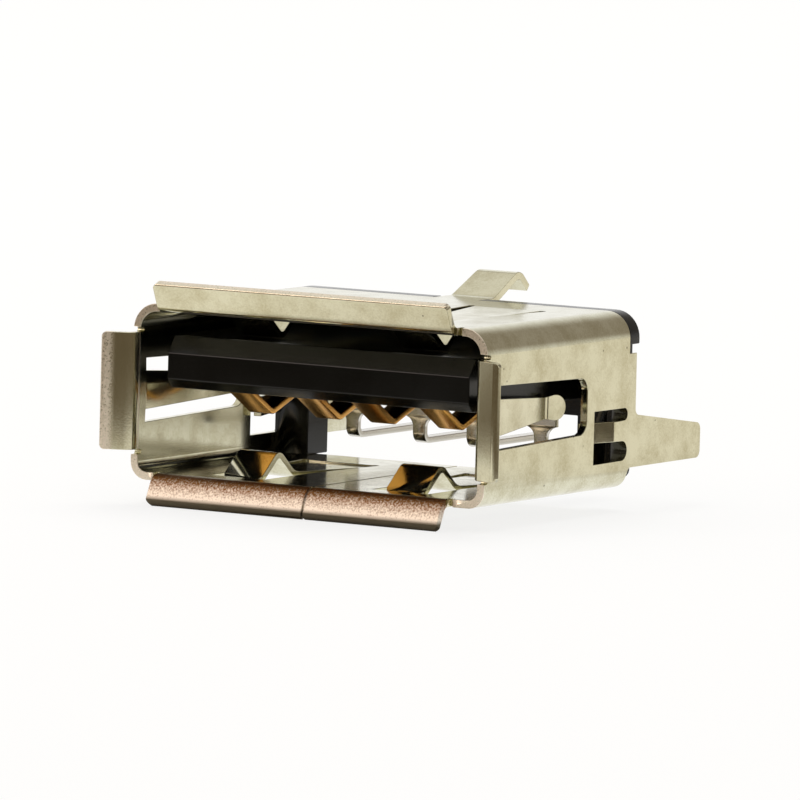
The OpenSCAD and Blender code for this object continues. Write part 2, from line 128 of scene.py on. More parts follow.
# Directions from the socket to the backdrop and the lamps, and the lamps' distance in metres
BACKDROP = (-0.35, 0.94, 0.6)
SOFT_BOX = (-0.517, -0.72, 0.46)
TOP_LIGHT = (-0.15, 0.4, 1.0)
LAMP_DISTANCE = 0.5
# Width of the camera's sensor in millimetres
SENSOR_WIDTH = 36

# Places of a Mix node's sockets, whose names repeat: factor, two numbers, two colours, and the mixed colour
FACTOR = 0
NUMBER_A = 2
NUMBER_B = 3
COLOUR_A = 6
COLOUR_B = 7
MIXED = 2


def linear(hex_colour):
    """Turns an sRGB hex value into linear red, green and blue."""
    parts = [int(hex_colour[k:k + 2], 16) / 255 for k in (0, 2, 4)]
    return tuple(c / 12.92 if c <= 0.04045 else ((c + 0.055) / 1.055) ** 2.4 for c in parts)


def rgba(colour):
    """A colour with full opacity, as a node's socket takes it."""
    return (colour[0], colour[1], colour[2], 1.0)


def add(tree, kind, inputs=None, **settings):
    """Adds one node with its settings; inputs holds a value or a socket to link for each name or place."""
    made = tree.nodes.new(kind)
    for key, value in settings.items():
        setattr(made, key, value)
    for key, value in (inputs or {}).items():
        if isinstance(value, bpy.types.NodeSocket):
            tree.links.new(value, made.inputs[key])
        else:
            made.inputs[key].default_value = value
    return made


def new_material(name):
    """A node material with nothing in it yet."""
    material = bpy.data.materials.new(name)
    material.use_nodes = True
    material.node_tree.nodes.clear()
    return material, material.node_tree


class ShellSettings(bpy.types.PropertyGroup):
    """Sizes and colours of the folded shell"""

    edge_radius: bpy.props.FloatProperty(
        name="Edge radius", description="Rounding of the sheet's cut edges",
        default=0.02 * MM, min=0.005 * MM, max=0.05 * MM, subtype="DISTANCE", unit="LENGTH", precision=6)
    weld: bpy.props.FloatProperty(
        name="Weld distance", description="Points of the packed mesh closer than this are joined",
        default=0.01 * MM, min=0.0, max=0.03 * MM, subtype="DISTANCE", unit="LENGTH", precision=6)
    plating: bpy.props.FloatVectorProperty(
        name="Plating", description="Colour of the bright nickel",
        default=linear("DCD9BF"), subtype="COLOR", size=3, min=0.0, max=1.0)
    rubbed: bpy.props.FloatVectorProperty(
        name="Rubbed plating", description="Colour where the nickel is thin and the brass below warms it",
        default=linear("B8B08E"), subtype="COLOR", size=3, min=0.0, max=1.0)
    # This colour is wear with a painted highlight, paler than the plating, on the rims and the bottom lip's
    # middle
    worn_and_highlit: bpy.props.FloatVectorProperty(
        name="Worn rims", description="Colour of the lips' outer rims, where plugs have scuffed the nickel",
        default=linear("FAEEDE"), subtype="COLOR", size=3, min=0.0, max=1.0)
    # The copper is a painted reflection of the gold contacts and the warm room, in the bottom lip's bend
    copper: bpy.props.FloatVectorProperty(
        name="Copper", description="Colour of the undercoat where the bottom lip is rubbed through",
        default=linear("865A34"), subtype="COLOR", size=3, min=0.0, max=1.0)
    # The speck colour also paints shade on the bottom lip's tip, which mirrors the shadowed floor
    speck: bpy.props.FloatVectorProperty(
        name="Specks", description="Colour of the small specks in the plating and of tarnish",
        default=linear("5A5342"), subtype="COLOR", size=3, min=0.0, max=1.0)
    haze: bpy.props.FloatProperty(
        name="Haze", description="Size of the clouds of duller plating",
        default=0.9 * MM, min=0.2 * MM, max=4.0 * MM, subtype="DISTANCE", unit="LENGTH", precision=6)
    grain: bpy.props.FloatProperty(
        name="Grain", description="Size of the fine waviness that plating leaves",
        default=0.06 * MM, min=0.02 * MM, max=0.3 * MM, subtype="DISTANCE", unit="LENGTH", precision=6)
    speck_spacing: bpy.props.FloatProperty(
        name="Speck spacing", description="Mean distance between the places where a speck may lie",
        default=0.5 * MM, min=0.2 * MM, max=2.0 * MM, subtype="DISTANCE", unit="LENGTH", precision=6)


class InsulatorSettings(bpy.types.PropertyGroup):
    """Sizes and colours of the moulded insulator"""

    edge_radius: bpy.props.FloatProperty(
        name="Edge radius", description="Rounding of the moulded edges",
        default=0.035 * MM, min=0.005 * MM, max=0.08 * MM, subtype="DISTANCE", unit="LENGTH", precision=6)
    weld: bpy.props.FloatProperty(
        name="Weld distance", description="Points of the packed mesh closer than this are joined",
        default=0.0001 * MM, min=0.0, max=0.03 * MM, subtype="DISTANCE", unit="LENGTH", precision=6)
    colour: bpy.props.FloatVectorProperty(
        name="Plastic", description="Colour of the moulded plastic",
        default=linear("080908"), subtype="COLOR", size=3, min=0.0, max=1.0)
    pale: bpy.props.FloatVectorProperty(
        name="Fibre", description="Colour where glass fibre lies near the surface",
        default=linear("1E1F1D"), subtype="COLOR", size=3, min=0.0, max=1.0)
    grit: bpy.props.FloatProperty(
        name="Grit", description="Size of the mould's spark-eroded grit",
        default=0.07 * MM, min=0.01 * MM, max=0.2 * MM, subtype="DISTANCE", unit="LENGTH", precision=6)
    flow: bpy.props.FloatProperty(
        name="Flow marks", description="Size of the duller patches that the flowing plastic leaves",
        default=2.5 * MM, min=0.5 * MM, max=8.0 * MM, subtype="DISTANCE", unit="LENGTH", precision=6)


class ContactSettings(bpy.types.PropertyGroup):
    """Sizes and colours of the four contact strips"""

    thickness: bpy.props.FloatProperty(
        name="Thickness", description="Thickness of the strip",
        default=0.2 * MM, subtype="DISTANCE", unit="LENGTH", precision=6)
    arm_width: bpy.props.FloatProperty(
        name="Arm width", description="Width of the spring arm",
        default=0.82 * MM, subtype="DISTANCE", unit="LENGTH", precision=6)
    seat_width: bpy.props.FloatProperty(
        name="Seat width", description="Width where the strip is seated in the insulator",
        default=1.15 * MM, subtype="DISTANCE", unit="LENGTH", precision=6)
    tail_width: bpy.props.FloatProperty(
        name="Tail width", description="Width of the solder tail",
        default=0.45 * MM, subtype="DISTANCE", unit="LENGTH", precision=6)
    edge_radius: bpy.props.FloatProperty(
        name="Edge radius", description="Rounding along the strip's edges",
        default=0.03 * MM, subtype="DISTANCE", unit="LENGTH", precision=6)
    heel: bpy.props.FloatProperty(
        name="Heel", description="Distance along the strip at which the arm gives way to the seat",
        default=4.474 * MM, subtype="DISTANCE", unit="LENGTH", precision=6)
    neck: bpy.props.FloatProperty(
        name="Neck", description="Distance along the strip at which the seat has narrowed to the tail",
        default=9.1375 * MM, subtype="DISTANCE", unit="LENGTH", precision=6)
    gold: bpy.props.FloatVectorProperty(
        name="Gold", description="Colour of the gold flash on the spring arm",
        default=linear("EAB05C"), subtype="COLOR", size=3, min=0.0, max=1.0)
    tin: bpy.props.FloatVectorProperty(
        name="Tin", description="Colour of the tin on the seat and the tail",
        default=linear("D2CEC4"), subtype="COLOR", size=3, min=0.0, max=1.0)
    gold_end: bpy.props.FloatProperty(
        name="Gold ends at", description="Depth behind the mouth at which the gold gives way to tin",
        default=5.6 * MM, subtype="DISTANCE", unit="LENGTH", precision=6)
    gold_fade: bpy.props.FloatProperty(
        name="Gold fades over", description="Depth over which the gold gives way to tin",
        default=0.3 * MM, subtype="DISTANCE", unit="LENGTH", precision=6)
    ragged: bpy.props.FloatProperty(
        name="Ragged edge", description="How far the end of the gold wanders",
        default=0.4 * MM, subtype="DISTANCE", unit="LENGTH", precision=6)
    line_spacing: bpy.props.FloatProperty(
        name="Line spacing", description="Distance between the drawing lines",
        default=0.04 * MM, subtype="DISTANCE", unit="LENGTH", precision=6)
    line_length: bpy.props.FloatProperty(
        name="Line length", description="Length over which a drawing line comes and goes",
        default=0.5 * MM, subtype="DISTANCE", unit="LENGTH", precision=6)


class StageSettings(bpy.types.PropertyGroup):
    """Camera, light and floor"""

    azimuth: bpy.props.FloatProperty(
        name="Azimuth", description="Turn of the camera round the socket",
        default=math.radians(31.314), subtype="ANGLE", unit="ROTATION")
    elevation: bpy.props.FloatProperty(
        name="Elevation", description="Height of the camera above the horizon",
        default=math.radians(5.544), subtype="ANGLE", unit="ROTATION")
    roll: bpy.props.FloatProperty(
        name="Roll", description="Turn of the camera about its own axis",
        default=math.radians(-1.508), subtype="ANGLE", unit="ROTATION")
    distance: bpy.props.FloatProperty(
        name="Distance", description="Distance of the camera from the mouth",
        default=352.9 * MM, subtype="DISTANCE", unit="LENGTH")
    lens: bpy.props.FloatProperty(
        name="Lens", description="Focal length in millimetres on a sensor 36 mm wide", default=506.25)
    aim_right: bpy.props.FloatProperty(
        name="Aim right", description="How far to the right of the mouth the camera aims, as a slope",
        default=0.008244, precision=6)
    aim_up: bpy.props.FloatProperty(
        name="Aim up", description="How far above the mouth the camera aims, as a slope",
        default=0.000449, precision=6)
    paper: bpy.props.FloatVectorProperty(
        name="Paper", description="Colour of the floor",
        default=linear("FAF9F6"), subtype="COLOR", size=3, min=0.0, max=1.0)
    table: bpy.props.FloatVectorProperty(
        name="Table", description="Colour of the table in front of the paper, seen only in reflections",
        default=linear("665C4D"), subtype="COLOR", size=3, min=0.0, max=1.0)
    room: bpy.props.FloatVectorProperty(
        name="Room", description="Colour of the room in front of the socket, seen only in reflections",
        default=linear("665C4D"), subtype="COLOR", size=3, min=0.0, max=1.0)
    cove: bpy.props.FloatVectorProperty(
        name="Cove", description="Colour of the room where it turns from the front to the backdrop",
        default=linear("AEA295"), subtype="COLOR", size=3, min=0.0, max=1.0)
    gap: bpy.props.FloatVectorProperty(
        name="Gap", description="Colour of the unlit gap between the backdrop and the ceiling",
        default=linear("9E968C"), subtype="COLOR", size=3, min=0.0, max=1.0)
    ceiling: bpy.props.FloatVectorProperty(
        name="Ceiling", description="Colour of the lit ceiling",
        default=linear("EFECE6"), subtype="COLOR", size=3, min=0.0, max=1.0)
    sweep: bpy.props.FloatVectorProperty(
        name="Sweep", description="Colour of the paper further behind the socket, seen only in reflections",
        default=linear("F0EEE8"), subtype="COLOR", size=3, min=0.0, max=1.0)
    shade: bpy.props.FloatVectorProperty(
        name="Shade", description="Colour of the paper in the socket's shade, seen only in reflections",
        default=linear("BFBDB8"), subtype="COLOR", size=3, min=0.0, max=1.0)
    card: bpy.props.FloatVectorProperty(
        name="Card", description="Colour of the dark card on the right, seen only in reflections",
        default=linear("2A241C"), subtype="COLOR", size=3, min=0.0, max=1.0)
    lamp_colour: bpy.props.FloatVectorProperty(
        name="Lamp colour", description="Colour of the soft box in front on the left",
        default=linear("FFEDE4"), subtype="COLOR", size=3, min=0.0, max=1.0)
    lamp_power: bpy.props.FloatProperty(
        name="Lamp power", description="Power of the soft box in front", default=0.28, min=0.0, unit="POWER")
    top_power: bpy.props.FloatProperty(
        name="Top light power", description="Power of the lamp overhead, which no metal mirrors",
        default=1.0, min=0.0, unit="POWER")


def scuffed_highlit_rims(tree, parts, waves):
    """Where plugs scuff the rims of the top and left lips and the front edge of the corners, in patches,
    which are also painted paler as a highlight.
    """
    low, high = cad_box
    side_rim = add(tree, "ShaderNodeMapRange", {
        "Value": parts["X"], "From Min": low.x + SIDE_RIM[0] * MM,
        "From Max": low.x + SIDE_RIM[1] * MM}).outputs["Result"]
    top_rim = add(tree, "ShaderNodeMapRange", {
        "Value": parts["Z"], "From Min": high.z - TOP_RIM[0] * MM,
        "From Max": high.z - TOP_RIM[1] * MM}).outputs["Result"]
    rims = add(tree, "ShaderNodeMath", {0: side_rim, 1: top_rim}, operation="MAXIMUM").outputs[0]
    in_front = add(tree, "ShaderNodeMapRange", {
        "Value": parts["Y"], "From Min": low.y + LIP_FRONT[0] * MM,
        "From Max": low.y + LIP_FRONT[1] * MM}).outputs["Result"]
    lip_rims = add(tree, "ShaderNodeMath", {0: rims, 1: in_front}, operation="MULTIPLY").outputs[0]
    mouth_edge = add(tree, "ShaderNodeMath", {
        0: parts["Y"], 1: 0.0, 2: MOUTH_EDGE * MM}, operation="COMPARE").outputs[0]
    scuffed = add(tree, "ShaderNodeMath", {0: lip_rims, 1: mouth_edge}, operation="MAXIMUM").outputs[0]
    patchy = add(tree, "ShaderNodeMapRange", {
        "Value": waves, "From Min": 0.3, "From Max": 0.6, "To Min": 0.35}).outputs["Result"]
    return add(tree, "ShaderNodeMath", {0: scuffed, 1: patchy}, operation="MULTIPLY").outputs[0]


def low_lip_painted_light(tree, parts, waves, settings):
    """Where the bottom lip is, and its colour: a painted copper reflection at the bend, scuffed plating with
    a painted highlight further out, and painted shade at the tip.
    """
    low = cad_box[0]
    grains = add(tree, "ShaderNodeMath", {
        0: waves, 1: COPPER_GRAIN * MM, 2: parts["Z"]}, operation="MULTIPLY_ADD").outputs[0]
    # The painted copper reflection fills the bend, broken up by the grain
    copper_share = add(tree, "ShaderNodeMapRange", {
        "Value": grains, "From Min": low.z + COPPER_REFLECTION_BAND[0] * MM,
        "From Max": low.z + COPPER_REFLECTION_BAND[1] * MM}).outputs["Result"]
    # Further out the lip is scuffed plating with a painted highlight
    rubbed = add(tree, "ShaderNodeMix", {
        FACTOR: copper_share, COLOUR_A: rgba(settings.worn_and_highlit), COLOUR_B: rgba(settings.copper)},
        data_type="RGBA").outputs[MIXED]
    # Painted shade at the tip, which mirrors the shadowed floor just under it
    tip = add(tree, "ShaderNodeMapRange", {
        "Value": parts["Z"], "From Min": low.z + PAINTED_TIP_SHADE[0] * MM,
        "From Max": low.z + PAINTED_TIP_SHADE[1] * MM, "To Max": 0.95}).outputs["Result"]
    colour = add(tree, "ShaderNodeMix", {
        FACTOR: tip, COLOUR_A: rubbed, COLOUR_B: rgba(settings.speck)}, data_type="RGBA").outputs[MIXED]
    below = add(tree, "ShaderNodeMath", {
        0: parts["Z"], 1: low.z + LOW_LIP_TOP * MM}, operation="LESS_THAN").outputs[0]
    before = add(tree, "ShaderNodeMapRange", {
        "Value": parts["Y"], "From Min": LOW_LIP_FRONT[0] * MM,
        "From Max": LOW_LIP_FRONT[1] * MM}).outputs["Result"]
    where = add(tree, "ShaderNodeMath", {0: below, 1: before}, operation="MULTIPLY").outputs[0]
    return where, colour


def plating_specks(tree, place, settings):
    """Where a dark speck lies: in about one place in four, and up to a fifth of the spacing across."""
    cells = add(tree, "ShaderNodeTexVoronoi", {"Vector": place, "Scale": 1 / settings.speck_spacing}).outputs
    chance = add(tree, "ShaderNodeSeparateColor", {"Color": cells["Color"]}).outputs["Red"]
    size = add(tree, "ShaderNodeMapRange", {
        "Value": chance, "From Min": 0.72, "From Max": 1.0, "To Max": 0.09}).outputs["Result"]
    inside = add(tree, "ShaderNodeMath", {0: size, 1: cells["Distance"]}, operation="SUBTRACT").outputs[0]
    return add(tree, "ShaderNodeMapRange", {
        "Value": inside, "From Max": 0.03, "To Max": 0.75}).outputs["Result"]


def plated_sheet(settings):
    """Bright nickel on rolled brass sheet, plated and then stamped and folded."""
    # The eye sees a pale yellow-grey mirror with soft clouds, a fine waviness and a few dark specks
    material, tree = new_material("nickel_plated_rolled_sheet")
    place = add(tree, "ShaderNodeTexCoord").outputs["Object"]
    parts = add(tree, "ShaderNodeSeparateXYZ", {"Vector": place}).outputs
    clouds = add(tree, "ShaderNodeTexNoise", {
        "Vector": place, "Scale": 1 / settings.haze, "Detail": 5.0, "Roughness": 0.6}).outputs[0]
    # Real waviness is finer than the grain, which is drawn as coarse as it needs to show
    waves = add(tree, "ShaderNodeTexNoise", {
        "Vector": place, "Scale": 1 / settings.grain, "Detail": 2.0, "Roughness": 0.5}).outputs[0]
    # The nickel is thin where the clouds, with half of the waviness added, are strong
    mottle = add(tree, "ShaderNodeMath", {0: waves, 1: 0.5, 2: clouds}, operation="MULTIPLY_ADD").outputs[0]
    thin = add(tree, "ShaderNodeMapRange", {
        "Value": mottle, "From Min": 0.62, "From Max": 0.98, "To Max": 0.75}).outputs["Result"]
    metal = add(tree, "ShaderNodeMix", {
        FACTOR: thin, COLOUR_A: rgba(settings.plating), COLOUR_B: rgba(settings.rubbed)},
        data_type="RGBA").outputs[MIXED]
    # The scuffed rims are also painted paler, as a highlight
    scuffs_and_highlights = scuffed_highlit_rims(tree, parts, waves)
    rimmed = add(tree, "ShaderNodeMix", {
        FACTOR: scuffs_and_highlights, COLOUR_A: metal, COLOUR_B: rgba(settings.worn_and_highlit)}, data_type="RGBA").outputs[MIXED]
    # The bottom lip gets its painted light: a copper reflection, a pale highlight and a shaded tip
    on_low_lip, lip_colour = low_lip_painted_light(tree, parts, waves, settings)
    lips = add(tree, "ShaderNodeMix", {
        FACTOR: on_low_lip, COLOUR_A: rimmed, COLOUR_B: lip_colour}, data_type="RGBA").outputs[MIXED]
    specks = plating_specks(tree, place, settings)
    colour = add(tree, "ShaderNodeMix", {
        FACTOR: specks, COLOUR_A: lips, COLOUR_B: rgba(settings.speck)}, data_type="RGBA").outputs[MIXED]
    # Worn places are dull, and the clouds are a little duller than the plating between them
    wear = add(tree, "ShaderNodeMath", {0: scuffs_and_highlights, 1: on_low_lip}, operation="MAXIMUM").outputs[0]
    dull = add(tree, "ShaderNodeMapRange", {
        "Value": clouds, "From Min": 0.3, "From Max": 0.75, "To Min": 0.1, "To Max": 0.18}).outputs["Result"]
    rough = add(tree, "ShaderNodeMix", {
        FACTOR: wear, NUMBER_A: dull, NUMBER_B: 0.45}, data_type="FLOAT").outputs[0]
    relief = add(tree, "ShaderNodeBump", {
        "Strength": 0.06, "Distance": 0.01 * MM, "Height": waves}).outputs["Normal"]
    surface = add(tree, "ShaderNodeBsdfPrincipled", {
        "Base Color": colour, "Metallic": 1.0, "Roughness": rough, "Normal": relief}).outputs["BSDF"]
    add(tree, "ShaderNodeOutputMaterial", {"Surface": surface})
    return material


def moulded_plastic(settings):
    """Black glass-filled polyester, injection moulded against a spark-eroded steel face."""
    # The eye sees a deep black that turns bright only at a flat angle, broken up by a fine grit
    material, tree = new_material("black_moulded_polyester")
    place = add(tree, "ShaderNodeTexCoord").outputs["Object"]
    # Real grit is finer, and is drawn as coarse as it needs to show
    grit = add(tree, "ShaderNodeTexNoise", {
        "Vector": place, "Scale": 1 / settings.grit, "Detail": 2.0, "Roughness": 0.5}).outputs[0]
    flow = add(tree, "ShaderNodeTexNoise", {
        "Vector": place, "Scale": 1 / settings.flow, "Detail": 3.0, "Roughness": 0.55}).outputs[0]
    fibre = add(tree, "ShaderNodeMapRange", {
        "Value": grit, "From Min": 0.6, "From Max": 0.8, "To Max": 0.5}).outputs["Result"]
    colour = add(tree, "ShaderNodeMix", {
        FACTOR: fibre, COLOUR_A: rgba(settings.colour), COLOUR_B: rgba(settings.pale)},
        data_type="RGBA").outputs[MIXED]
    dull = add(tree, "ShaderNodeMapRange", {
        "Value": flow, "From Min": 0.3, "From Max": 0.7, "To Min": 0.16, "To Max": 0.26}).outputs["Result"]
    relief = add(tree, "ShaderNodeBump", {
        "Strength": 0.12, "Distance": 0.01 * MM, "Height": grit}).outputs["Normal"]
    surface = add(tree, "ShaderNodeBsdfPrincipled", {
        "Base Color": colour, "Roughness": dull, "IOR": 1.45, "Specular IOR Level": 0.35,
        "Normal": relief}).outputs["BSDF"]
    add(tree, "ShaderNodeOutputMaterial", {"Surface": surface})
    return material


def gilt_strip(settings):
    """Bronze strip with a gold flash on the spring arm and tin on the seat and tail."""
    # The eye sees a deep yellow arm with soft highlights that turns to a pale grey metal further back
    material, tree = new_material("gold_flashed_bronze_strip")
    place = add(tree, "ShaderNodeTexCoord").outputs["Object"]
    depth = add(tree, "ShaderNodeSeparateXYZ", {"Vector": place}).outputs["Y"]
    wander = add(tree, "ShaderNodeTexNoise", {
        "Vector": place, "Scale": 1 / settings.ragged, "Detail": 2.0, "Roughness": 0.5}).outputs[0]
    ragged = add(tree, "ShaderNodeMath", {
        0: wander, 1: settings.ragged, 2: depth}, operation="MULTIPLY_ADD").outputs[0]
    tinned = add(tree, "ShaderNodeMapRange", {
        "Value": ragged, "From Min": settings.gold_end,
        "From Max": settings.gold_end + settings.gold_fade}).outputs["Result"]
    colour = add(tree, "ShaderNodeMix", {
        FACTOR: tinned, COLOUR_A: rgba(settings.gold), COLOUR_B: rgba(settings.tin)},
        data_type="RGBA").outputs[MIXED]
    # Drawing lines run along the strip; real ones are finer, and these are as coarse as they need to show
    across = 1 / settings.line_spacing
    along = 1 / settings.line_length
    drawn = add(tree, "ShaderNodeMapping", {
        "Vector": place, "Scale": (across, along, along)}).outputs["Vector"]
    lines = add(tree, "ShaderNodeTexNoise", {
        "Vector": drawn, "Scale": 1.0, "Detail": 2.0, "Roughness": 0.5}).outputs[0]
    dull = add(tree, "ShaderNodeMapRange", {
        "Value": lines, "From Min": 0.3, "From Max": 0.7, "To Min": 0.2, "To Max": 0.27}).outputs["Result"]
    relief = add(tree, "ShaderNodeBump", {
        "Strength": 0.03, "Distance": 0.01 * MM, "Height": lines}).outputs["Normal"]
    surface = add(tree, "ShaderNodeBsdfPrincipled", {
        "Base Color": colour, "Metallic": 1.0, "Roughness": dull, "Normal": relief}).outputs["BSDF"]
    add(tree, "ShaderNodeOutputMaterial", {"Surface": surface})
    return material


def cut_edges(shape):
    """Edges where two faces meet at a real corner, without the slivers that a round would fold over."""
    found = []
    for edge in shape.edges:
        if len(edge.link_faces) != 2 or edge.calc_length() < SHORTEST_EDGE:
            continue
        if min(face.calc_area() for face in edge.link_faces) < SMALLEST_FACE:
            continue
        if edge.calc_face_angle() >= CORNER_ANGLE:
            found.append(edge)
    return found


def rounded_copy(node, weld, edge_radius):
    """A plain mesh with the node's shape, its points joined, its flat faces whole and its edges rounded."""
    # The copy is worked in millimetres, because faces this small weigh nothing in square metres
    shape = bmesh.new()
    shape.from_mesh(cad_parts[node].data)
    bmesh.ops.scale(shape, vec=(1 / MM, 1 / MM, 1 / MM), verts=shape.verts)
    bmesh.ops.remove_doubles(shape, verts=shape.verts, dist=weld / MM)
    bmesh.ops.dissolve_limit(shape, angle_limit=FLAT_ANGLE, verts=shape.verts, edges=shape.edges)
    bmesh.ops.dissolve_degenerate(shape, dist=weld / MM, edges=shape.edges)
    bmesh.ops.bevel(
        shape, geom=cut_edges(shape), offset=edge_radius / MM, offset_type="OFFSET", segments=ROUND_STEPS,
        profile=0.5, affect="EDGES", clamp_overlap=False)
    mesh = bpy.data.meshes.new(node + "_rounded")
    shape.to_mesh(mesh)
    shape.free()
    mesh.shade_smooth()
    mesh.set_sharp_from_angle(angle=CRISP_ANGLE)
    draft = bpy.data.objects.new(node + "_draft", mesh)
    bpy.context.scene.collection.objects.link(draft)
    # Large faces stay flat to the eye, and the rounds and bends alone carry the turn
    shading = draft.modifiers.new("Flat faces", "WEIGHTED_NORMAL")
    shading.mode = "FACE_AREA"
    shading.keep_sharp = True
    finished = bpy.data.meshes.new_from_object(draft.evaluated_get(bpy.context.evaluated_depsgraph_get()))
    bpy.data.objects.remove(draft)
    finished.transform(Matrix.Scale(MM, 4))
    return finished


def place_piece(name, mesh, material, node):
    """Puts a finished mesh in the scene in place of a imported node."""
    if not mesh.polygons:
        raise RuntimeError("the mesh of " + name + " has no faces")
    mesh.materials.clear()
    mesh.materials.append(material)
    piece = bpy.data.objects.new(name, mesh)
    bpy.context.scene.collection.objects.link(piece)
    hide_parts(node)
    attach(piece, BODY)


def strip_path(thickness):
    """A chain of edges along the middle of a contact, each corner with the radius of its bend."""
    heading = math.radians(STRIP_SLOPE)
    start = Vector(STRIP_START) * MM
    at = start + Vector((-math.sin(heading), math.cos(heading))) * thickness / 2
    corners = [(0.0, at.x, at.y)]
    radii = [0.0]
    behind = 0.0
    for run, turn, radius in STRIP_STEPS:
        bend = math.radians(turn)
        middle = radius * MM + thickness / 2 if turn else 0.0
        ahead = middle * math.tan(abs(bend) / 2)
        at = at + Vector((math.cos(heading), math.sin(heading))) * (behind + run * MM + ahead)
        corners.append((0.0, at.x, at.y))
        radii.append(middle)
        heading += bend
        behind = ahead
    mesh = bpy.data.meshes.new("contact_path")
    mesh.from_pydata(corners, [(k, k + 1) for k in range(len(corners) - 1)], [])
    mesh.attributes.new("bend", "FLOAT", "POINT").data.foreach_set("value", radii)
    return mesh


def extra_width(tree, given):
    """How far each side of a strip lies outside the side of its tail."""
    run = add(tree, "GeometryNodeInputNamedAttribute", {
        "Name": "run"}, data_type="FLOAT").outputs["Attribute"]
    extra = {}
    for stretch in ("Arm width", "Seat width"):
        spare = add(tree, "ShaderNodeMath", {
            0: given[stretch], 1: given["Tail width"]}, operation="SUBTRACT").outputs[0]
        extra[stretch] = add(tree, "ShaderNodeMath", {0: spare, 1: 0.5}, operation="MULTIPLY").outputs[0]
    # The seat narrows to the tail in two quarter circles that end at the neck
    radius = extra["Seat width"]
    to_neck = add(tree, "ShaderNodeMath", {0: given["Neck"], 1: run}, operation="SUBTRACT").outputs[0]
    before = add(tree, "ShaderNodeMath", {0: to_neck, 1: 0.0}, operation="MAXIMUM").outputs[0]
    square = add(tree, "ShaderNodeMath", {0: before, 1: before}, operation="MULTIPLY").outputs[0]
    whole_square = add(tree, "ShaderNodeMath", {0: radius, 1: radius}, operation="MULTIPLY").outputs[0]
    left = add(tree, "ShaderNodeMath", {0: whole_square, 1: square}, operation="SUBTRACT").outputs[0]
    kept = add(tree, "ShaderNodeMath", {0: left, 1: 0.0}, operation="MAXIMUM").outputs[0]
    hollow = add(tree, "ShaderNodeMath", {0: kept}, operation="SQRT").outputs[0]
    seat = add(tree, "ShaderNodeMath", {0: radius, 1: hollow}, operation="SUBTRACT").outputs[0]
    # In front of the heel the strip is as wide as the arm
    in_front = add(tree, "ShaderNodeMath", {0: run, 1: given["Heel"]}, operation="LESS_THAN").outputs[0]
    return add(tree, "ShaderNodeMix", {
        FACTOR: in_front, NUMBER_A: seat, NUMBER_B: extra["Arm width"]}, data_type="FLOAT").outputs[0]


